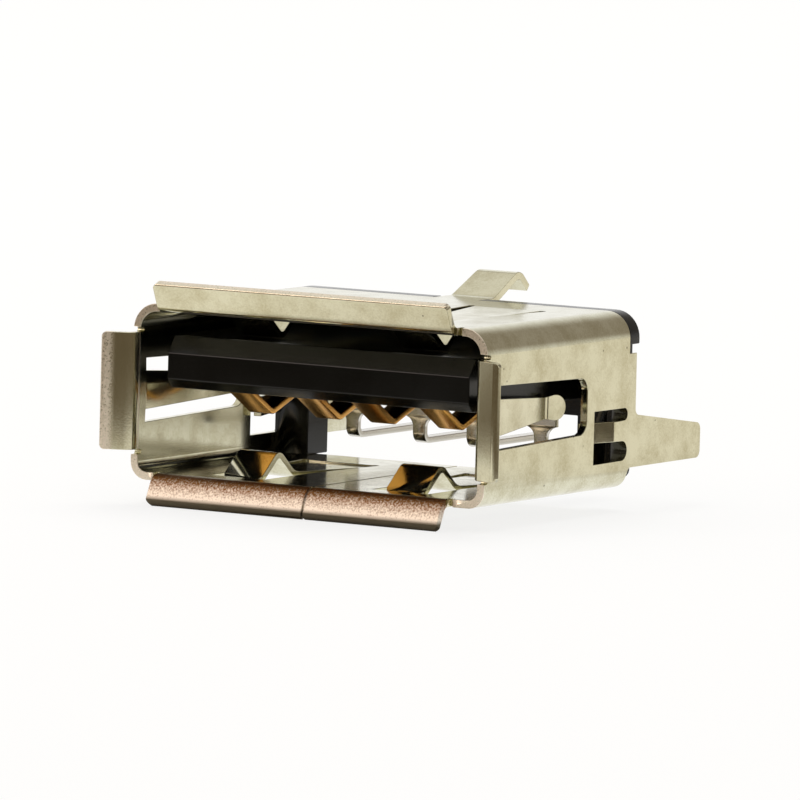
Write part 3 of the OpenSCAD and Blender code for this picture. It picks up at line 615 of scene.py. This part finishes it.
def strip_tree():
    """Geometry Nodes that bend a path, sweep a strip along it and give each stretch its width."""
    tree = bpy.data.node_groups.new("Contact strip", "GeometryNodeTree")
    tree.interface.new_socket("Path", in_out="INPUT", socket_type="NodeSocketGeometry")
    sockets = {}
    for name in (
            "Thickness", "Arm width", "Seat width", "Tail width", "Edge radius", "Heel", "Neck", "Across"):
        made = tree.interface.new_socket(name, in_out="INPUT", socket_type="NodeSocketFloat")
        made.subtype = "DISTANCE"
        sockets[name] = made.identifier
    made = tree.interface.new_socket("Finish", in_out="INPUT", socket_type="NodeSocketMaterial")
    sockets["Finish"] = made.identifier
    tree.interface.new_socket("Strip", in_out="OUTPUT", socket_type="NodeSocketGeometry")
    given = add(tree, "NodeGroupInput").outputs
    # The path gets its bends, then points close enough together to draw the bends and the neck
    bend = add(tree, "GeometryNodeInputNamedAttribute", {
        "Name": "bend"}, data_type="FLOAT").outputs["Attribute"]
    path = add(tree, "GeometryNodeMeshToCurve", {"Mesh": given["Path"]}).outputs["Curve"]
    bent = add(tree, "GeometryNodeFilletCurve", {
        "Curve": path, "Count": BEND_POINTS, "Radius": bend}, mode="POLY").outputs["Curve"]
    even = add(tree, "GeometryNodeResampleCurve", {
        "Curve": bent, "Length": POINT_SPACING * MM}, mode="LENGTH").outputs["Curve"]
    level = add(tree, "GeometryNodeSetCurveNormal", {
        "Curve": even, "Normal": (1, 0, 0)}, mode="FREE").outputs["Curve"]
    along = add(tree, "GeometryNodeSplineParameter").outputs["Length"]
    marked = add(tree, "GeometryNodeStoreNamedAttribute", {
        "Geometry": level, "Name": "run", "Value": along},
        data_type="FLOAT", domain="POINT").outputs["Geometry"]
    # A strip as wide as the tail is swept along it, and then each side is moved out to its width
    blank = add(tree, "GeometryNodeCurvePrimitiveQuadrilateral", {
        "Width": given["Tail width"], "Height": given["Thickness"]}, mode="RECTANGLE").outputs["Curve"]
    section = add(tree, "GeometryNodeFilletCurve", {
        "Curve": blank, "Count": EDGE_POINTS, "Radius": given["Edge radius"]}, mode="POLY").outputs["Curve"]
    swept = add(tree, "GeometryNodeCurveToMesh", {
        "Curve": marked, "Profile Curve": section, "Fill Caps": True}).outputs["Mesh"]
    wider = extra_width(tree, given)
    place = add(tree, "GeometryNodeInputPosition").outputs["Position"]
    offset = add(tree, "ShaderNodeSeparateXYZ", {"Vector": place}).outputs["X"]
    side = add(tree, "ShaderNodeMath", {0: offset}, operation="SIGN").outputs[0]
    shift = add(tree, "ShaderNodeMath", {
        0: side, 1: wider, 2: given["Across"]}, operation="MULTIPLY_ADD").outputs[0]
    move = add(tree, "ShaderNodeCombineXYZ", {"X": shift}).outputs["Vector"]
    shaped = add(tree, "GeometryNodeSetPosition", {"Geometry": swept, "Offset": move}).outputs["Geometry"]
    # The strip is smooth but for the rims of its two ends
    smooth = add(tree, "GeometryNodeSetShadeSmooth", {
        "Geometry": shaped, "Shade Smooth": True}, domain="FACE").outputs["Geometry"]
    angle = add(tree, "GeometryNodeInputMeshEdgeAngle").outputs["Unsigned Angle"]
    rim = add(tree, "ShaderNodeMath", {0: angle, 1: CRISP_ANGLE}, operation="GREATER_THAN").outputs[0]
    crisp = add(tree, "GeometryNodeSetShadeSmooth", {
        "Geometry": smooth, "Selection": rim, "Shade Smooth": False}, domain="EDGE").outputs["Geometry"]
    real = add(tree, "GeometryNodeRealizeInstances", {"Geometry": crisp}).outputs["Geometry"]
    finished = add(tree, "GeometryNodeSetMaterial", {
        "Geometry": real, "Material": given["Finish"]}).outputs["Geometry"]
    add(tree, "NodeGroupOutput", {"Strip": finished})
    return tree, sockets


def contact_mesh(node, settings, tree, sockets, material):
    """The strip of one contact as a plain mesh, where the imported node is."""
    low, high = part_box(node)
    draft = bpy.data.objects.new(node + "_draft", strip_path(settings.thickness))
    bpy.context.scene.collection.objects.link(draft)
    sweep = draft.modifiers.new("Contact strip", "NODES")
    sweep.node_group = tree
    values = {
        "Thickness": settings.thickness, "Arm width": settings.arm_width, "Seat width": settings.seat_width,
        "Tail width": settings.tail_width, "Edge radius": settings.edge_radius, "Heel": settings.heel,
        "Neck": settings.neck, "Across": (low[0] + high[0]) / 2, "Finish": material}
    for name, value in values.items():
        sweep[sockets[name]] = value
    finished = bpy.data.meshes.new_from_object(draft.evaluated_get(bpy.context.evaluated_depsgraph_get()))
    bpy.data.objects.remove(draft)
    return finished


def mirrored_paper(tree, white, settings):
    """What the metal mirrors: paper nearby and behind, the table in front, and a glow under the socket."""
    place = add(tree, "ShaderNodeTexCoord").outputs["Object"]
    parts = add(tree, "ShaderNodeSeparateXYZ", {"Vector": place}).outputs
    away = add(tree, "ShaderNodeVectorMath", {0: place}, operation="LENGTH").outputs["Value"]
    near = add(tree, "ShaderNodeMapRange", {
        "Value": away, "From Min": NEAR_PAPER[0] * MM, "From Max": NEAR_PAPER[1] * MM},
        interpolation_type="SMOOTHSTEP").outputs["Result"]
    leftward = add(tree, "ShaderNodeMath", {0: parts["X"], 1: 0.0}, operation="MINIMUM").outputs[0]
    rear = add(tree, "ShaderNodeMath", {
        0: leftward, 1: REAR_SLANT, 2: parts["Y"]}, operation="MULTIPLY_ADD").outputs[0]
    behind = add(tree, "ShaderNodeMapRange", {
        "Value": rear, "From Min": REAR_PAPER[0] * MM, "From Max": REAR_PAPER[1] * MM},
        interpolation_type="SMOOTHSTEP").outputs["Result"]
    # Straight behind the socket the paper lies in its shade, which the left wall mirrors from inside
    shaded = add(tree, "ShaderNodeMapRange", {
        "Value": parts["X"], "From Min": SHADED_PAPER[0] * MM, "From Max": SHADED_PAPER[1] * MM},
        interpolation_type="SMOOTHSTEP").outputs["Result"]
    paper = add(tree, "ShaderNodeMix", {
        FACTOR: shaded, COLOUR_A: rgba(settings.sweep), COLOUR_B: rgba(settings.shade)},
        data_type="RGBA").outputs[MIXED]
    far = add(tree, "ShaderNodeMix", {
        FACTOR: behind, COLOUR_A: rgba(settings.table), COLOUR_B: paper}, data_type="RGBA").outputs[MIXED]
    colour = add(tree, "ShaderNodeMix", {
        FACTOR: near, COLOUR_A: far, COLOUR_B: rgba(settings.paper)}, data_type="RGBA").outputs[MIXED]
    mirrored = add(tree, "ShaderNodeBsdfDiffuse", {"Color": colour}).outputs["BSDF"]
    # Under the socket the paper glows as a light table does, which whitens the undersides of the humps
    started = add(tree, "ShaderNodeMapRange", {
        "Value": parts["Y"], "From Min": GLOWING_PAPER[0] * MM,
        "From Max": GLOWING_PAPER[1] * MM}).outputs["Result"]
    lit = add(tree, "ShaderNodeMath", {0: near, 1: started}, operation="MULTIPLY").outputs[0]
    return add(tree, "ShaderNodeMixShader", {0: lit, 1: mirrored, 2: white}).outputs["Shader"]


def paper_floor(settings):
    """White paper that ends in front of the socket, where a darker table starts."""
    # The camera sees white paper with a soft shadow; the metal mirrors paper nearby and the table further off
    material, tree = new_material("white_paper_on_table")
    path = add(tree, "ShaderNodeLightPath").outputs
    matt = add(tree, "ShaderNodeBsdfDiffuse", {"Color": rgba(settings.paper)}).outputs["BSDF"]
    white = add(tree, "ShaderNodeEmission", {"Color": WHITE, "Strength": 1.0}).outputs["Emission"]
    mirrored = mirrored_paper(tree, white, settings)
    in_metal = add(tree, "ShaderNodeMixShader", {
        0: path["Is Glossy Ray"], 1: matt, 2: mirrored}).outputs["Shader"]
    shown = add(tree, "ShaderNodeMixShader", {0: OWN_WHITE, 1: matt, 2: white}).outputs["Shader"]
    both = add(tree, "ShaderNodeMixShader", {
        0: path["Is Camera Ray"], 1: in_metal, 2: shown}).outputs["Shader"]
    add(tree, "ShaderNodeOutputMaterial", {"Surface": both})
    return material


def dark_card(settings):
    """Dark uncoated card, matt and a little uneven."""
    # The camera never sees it; the metal mirrors a dull dark brown
    material, tree = new_material("dark_matt_card")
    place = add(tree, "ShaderNodeTexCoord").outputs["Object"]
    fibres = add(tree, "ShaderNodeTexNoise", {"Vector": place, "Scale": 1 / MM}).outputs[0]
    colour = add(tree, "ShaderNodeMix", {
        FACTOR: fibres, COLOUR_A: rgba(settings.card), COLOUR_B: rgba(settings.table)},
        data_type="RGBA").outputs[MIXED]
    matt = add(tree, "ShaderNodeBsdfDiffuse", {"Color": colour}).outputs["BSDF"]
    add(tree, "ShaderNodeOutputMaterial", {"Surface": matt})
    return material


def flat_sheet(name, corners, material):
    """One face with four corners, put in the scene."""
    mesh = bpy.data.meshes.new(name)
    mesh.from_pydata(corners, [], [(0, 1, 2, 3)])
    mesh.materials.append(material)
    sheet = bpy.data.objects.new(name, mesh)
    bpy.context.scene.collection.objects.link(sheet)
    return sheet


def lay_floor(settings):
    """A wide flat sheet under the socket's lowest point."""
    half = FLOOR_HALF * MM
    low = cad_box[0].z
    corners = [(-half, -half, low), (half, -half, low), (half, half, low), (-half, half, low)]
    floor = flat_sheet("paper_floor", corners, paper_floor(settings))


def stand_card(settings):
    """A small dark card on the right, which the locking tab mirrors and the camera doesn't see."""
    near = Vector(CARD_NEAR) * MM
    far = Vector(CARD_FAR) * MM
    low = cad_box[0].z
    high = low + CARD_HEIGHT * MM
    corners = [(near.x, near.y, low), (near.x, near.y, high), (far.x, far.y, high), (far.x, far.y, low)]
    card = flat_sheet("dark_card", corners, dark_card(settings))
    card.visible_camera = False
    card.visible_diffuse = False
    card.visible_shadow = False


def room_colour(tree, settings):
    """The colour of the room in each direction: dim in front, white behind, with a lit ceiling."""
    direction = add(tree, "ShaderNodeTexCoord").outputs["Generated"]
    parts = add(tree, "ShaderNodeSeparateXYZ", {"Vector": direction}).outputs
    # The walls brighten from in front on the right, round both sides, to the white backdrop
    behind = add(tree, "ShaderNodeVectorMath", {
        0: direction, 1: BACKDROP}, operation="DOT_PRODUCT").outputs["Value"]
    aside = add(tree, "ShaderNodeMapRange", {
        "Value": behind, "From Min": -0.7, "From Max": 0.1}).outputs["Result"]
    beyond = add(tree, "ShaderNodeMapRange", {
        "Value": behind, "From Min": 0.1, "From Max": 0.6}).outputs["Result"]
    front = add(tree, "ShaderNodeMix", {
        FACTOR: aside, COLOUR_A: rgba(settings.room), COLOUR_B: rgba(settings.cove)},
        data_type="RGBA").outputs[MIXED]
    walls = add(tree, "ShaderNodeMix", {
        FACTOR: beyond, COLOUR_A: front, COLOUR_B: WHITE}, data_type="RGBA").outputs[MIXED]
    # The backdrop fades out behind on the right, above the floor, and leaves a gap below the ceiling
    rightward = add(tree, "ShaderNodeMapRange", {
        "Value": parts["X"], "From Min": -0.5, "From Max": 0.05},
        interpolation_type="SMOOTHSTEP").outputs["Result"]
    raised = add(tree, "ShaderNodeMapRange", {
        "Value": parts["Z"], "From Min": -0.1, "From Max": 0.2},
        interpolation_type="SMOOTHSTEP").outputs["Result"]
    corner = add(tree, "ShaderNodeMath", {0: rightward, 1: raised}, operation="MULTIPLY").outputs[0]
    above = add(tree, "ShaderNodeMapRange", {
        "Value": parts["Z"], "From Min": 0.5, "From Max": 0.7},
        interpolation_type="SMOOTHSTEP").outputs["Result"]
    unlit = add(tree, "ShaderNodeMath", {0: corner, 1: above}, operation="MAXIMUM").outputs[0]
    gapped = add(tree, "ShaderNodeMix", {
        FACTOR: unlit, COLOUR_A: walls, COLOUR_B: rgba(settings.gap)}, data_type="RGBA").outputs[MIXED]
    # The ceiling starts higher in front and behind than it does at the sides
    depth = add(tree, "ShaderNodeMath", {0: parts["Y"]}, operation="ABSOLUTE").outputs[0]
    height = add(tree, "ShaderNodeMath", {
        0: depth, 1: -0.25, 2: parts["Z"]}, operation="MULTIPLY_ADD").outputs[0]
    overhead = add(tree, "ShaderNodeMapRange", {
        "Value": height, "From Min": 0.45, "From Max": 0.62},
        interpolation_type="SMOOTHSTEP").outputs["Result"]
    return add(tree, "ShaderNodeMix", {
        FACTOR: overhead, COLOUR_A: gapped, COLOUR_B: rgba(settings.ceiling)},
        data_type="RGBA").outputs[MIXED]


def light_room(settings):
    """A room that lights the socket and shows in its metal, and plain white for the camera."""
    world = bpy.data.worlds.new("studio")
    bpy.context.scene.world = world
    world.use_nodes = True
    tree = world.node_tree
    tree.nodes.clear()
    path = add(tree, "ShaderNodeLightPath").outputs
    room = room_colour(tree, settings)
    studio = add(tree, "ShaderNodeBackground", {"Color": room, "Strength": 1.0}).outputs["Background"]
    white = add(tree, "ShaderNodeBackground", {"Color": WHITE, "Strength": 1.0}).outputs["Background"]
    both = add(tree, "ShaderNodeMixShader", {
        0: path["Is Camera Ray"], 1: studio, 2: white}).outputs["Shader"]
    add(tree, "ShaderNodeOutputWorld", {"Surface": both})


def hang_lamp(name, towards, size, power, colour):
    """A round lamp in the given direction from the socket, turned to it."""
    data = bpy.data.lights.new(name, "AREA")
    data.shape = "DISK"
    data.size = size
    data.energy = power
    data.color = colour
    lamp = bpy.data.objects.new(name, data)
    bpy.context.scene.collection.objects.link(lamp)
    outward = Vector(towards).normalized()
    lamp.location = outward * LAMP_DISTANCE
    lamp.rotation_euler = outward.to_track_quat("Z", "Y").to_euler()
    return lamp


def set_camera(settings):
    """A long lens in front on the right, a little above the mouth."""
    turn = settings.azimuth
    rise = settings.elevation
    right = Vector((math.cos(turn), math.sin(turn), 0))
    back = Vector((math.sin(turn) * math.cos(rise), -math.cos(turn) * math.cos(rise), math.sin(rise)))
    up = back.cross(right)
    rolled_right = math.cos(settings.roll) * right - math.sin(settings.roll) * up
    rolled_up = math.sin(settings.roll) * right + math.cos(settings.roll) * up
    forward = (settings.aim_right * rolled_right + settings.aim_up * rolled_up - back).normalized()
    side = (rolled_right - rolled_right.dot(forward) * forward).normalized()
    data = bpy.data.cameras.new("camera")
    data.lens = settings.lens
    data.sensor_width = SENSOR_WIDTH
    data.clip_start = 0.01
    data.clip_end = 10
    camera = bpy.data.objects.new("camera", data)
    bpy.context.scene.collection.objects.link(camera)
    axes = Matrix((side, side.cross(forward), -forward)).transposed()
    camera.matrix_world = Matrix.Translation(settings.distance * back) @ axes.to_4x4()
    bpy.context.scene.camera = camera


class SOCKET_OT_shell(bpy.types.Operator):
    """Dresses the folded shell as plated sheet with rounded cut edges"""

    bl_idname = "socket.shell"
    bl_label = "Shell"

    def execute(self, context):
        settings = context.scene.socket_shell
        mesh = rounded_copy("shell", settings.weld, settings.edge_radius)
        place_piece("plated_shell", mesh, plated_sheet(settings), "shell")
        return {"FINISHED"}


class SOCKET_OT_insulator(bpy.types.Operator):
    """Dresses the insulator as moulded plastic with rounded edges"""

    bl_idname = "socket.insulator"
    bl_label = "Insulator"

    def execute(self, context):
        settings = context.scene.socket_insulator
        mesh = rounded_copy("insulator", settings.weld, settings.edge_radius)
        place_piece("moulded_insulator", mesh, moulded_plastic(settings), "insulator")
        return {"FINISHED"}


class SOCKET_OT_contacts(bpy.types.Operator):
    """Sweeps the four contacts as gilt strips"""

    bl_idname = "socket.contacts"
    bl_label = "Contacts"

    def execute(self, context):
        settings = context.scene.socket_contacts
        material = gilt_strip(settings)
        tree, sockets = strip_tree()
        for node in CONTACTS:
            mesh = contact_mesh(node, settings, tree, sockets, material)
            place_piece("gilt_" + node, mesh, material, node)
        return {"FINISHED"}


class SOCKET_OT_stage(bpy.types.Operator):
    """Lays the floor and sets the light and the camera"""

    bl_idname = "socket.stage"
    bl_label = "Stage"

    def execute(self, context):
        settings = context.scene.socket_stage
        context.scene.view_settings.view_transform = "Standard"
        lay_floor(settings)
        stand_card(settings)
        light_room(settings)
        # The lips mirror the soft box in front on the left; the light overhead is for the matt pieces alone
        hang_lamp("soft_box", SOFT_BOX, size=0.2, power=settings.lamp_power, colour=settings.lamp_colour)
        overhead = hang_lamp("top_light", TOP_LIGHT, size=0.4, power=settings.top_power, colour=WHITE[:3])
        overhead.visible_glossy = False
        set_camera(settings)
        return {"FINISHED"}


class SOCKET_PT_panel(bpy.types.Panel):
    """Lists the pieces of the socket and its stage"""

    bl_idname = "SOCKET_PT_panel"
    bl_label = "Socket"
    bl_space_type = "VIEW_3D"
    bl_region_type = "UI"
    bl_category = "Socket"

    def draw(self, context):
        for operator in ("socket.shell", "socket.insulator", "socket.contacts", "socket.stage"):
            self.layout.operator(operator)


SETTINGS = {
    "socket_shell": ShellSettings, "socket_insulator": InsulatorSettings,
    "socket_contacts": ContactSettings, "socket_stage": StageSettings}
CLASSES = (
    *SETTINGS.values(),
    SOCKET_OT_shell, SOCKET_OT_insulator, SOCKET_OT_contacts, SOCKET_OT_stage, SOCKET_PT_panel)


def register():
    """Makes the settings, the operators and the panel known."""
    for made in CLASSES:
        bpy.utils.register_class(made)
    for name, group in SETTINGS.items():
        setattr(bpy.types.Scene, name, bpy.props.PointerProperty(type=group))


def unregister():
    """Takes them away again."""
    for name in SETTINGS:
        delattr(bpy.types.Scene, name)
    for made in reversed(CLASSES):
        bpy.utils.unregister_class(made)


def main():
    """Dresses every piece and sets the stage."""
    register()
    bpy.ops.socket.shell()
    bpy.ops.socket.insulator()
    bpy.ops.socket.contacts()
    bpy.ops.socket.stage()


if __name__ == "__main__":
    main()
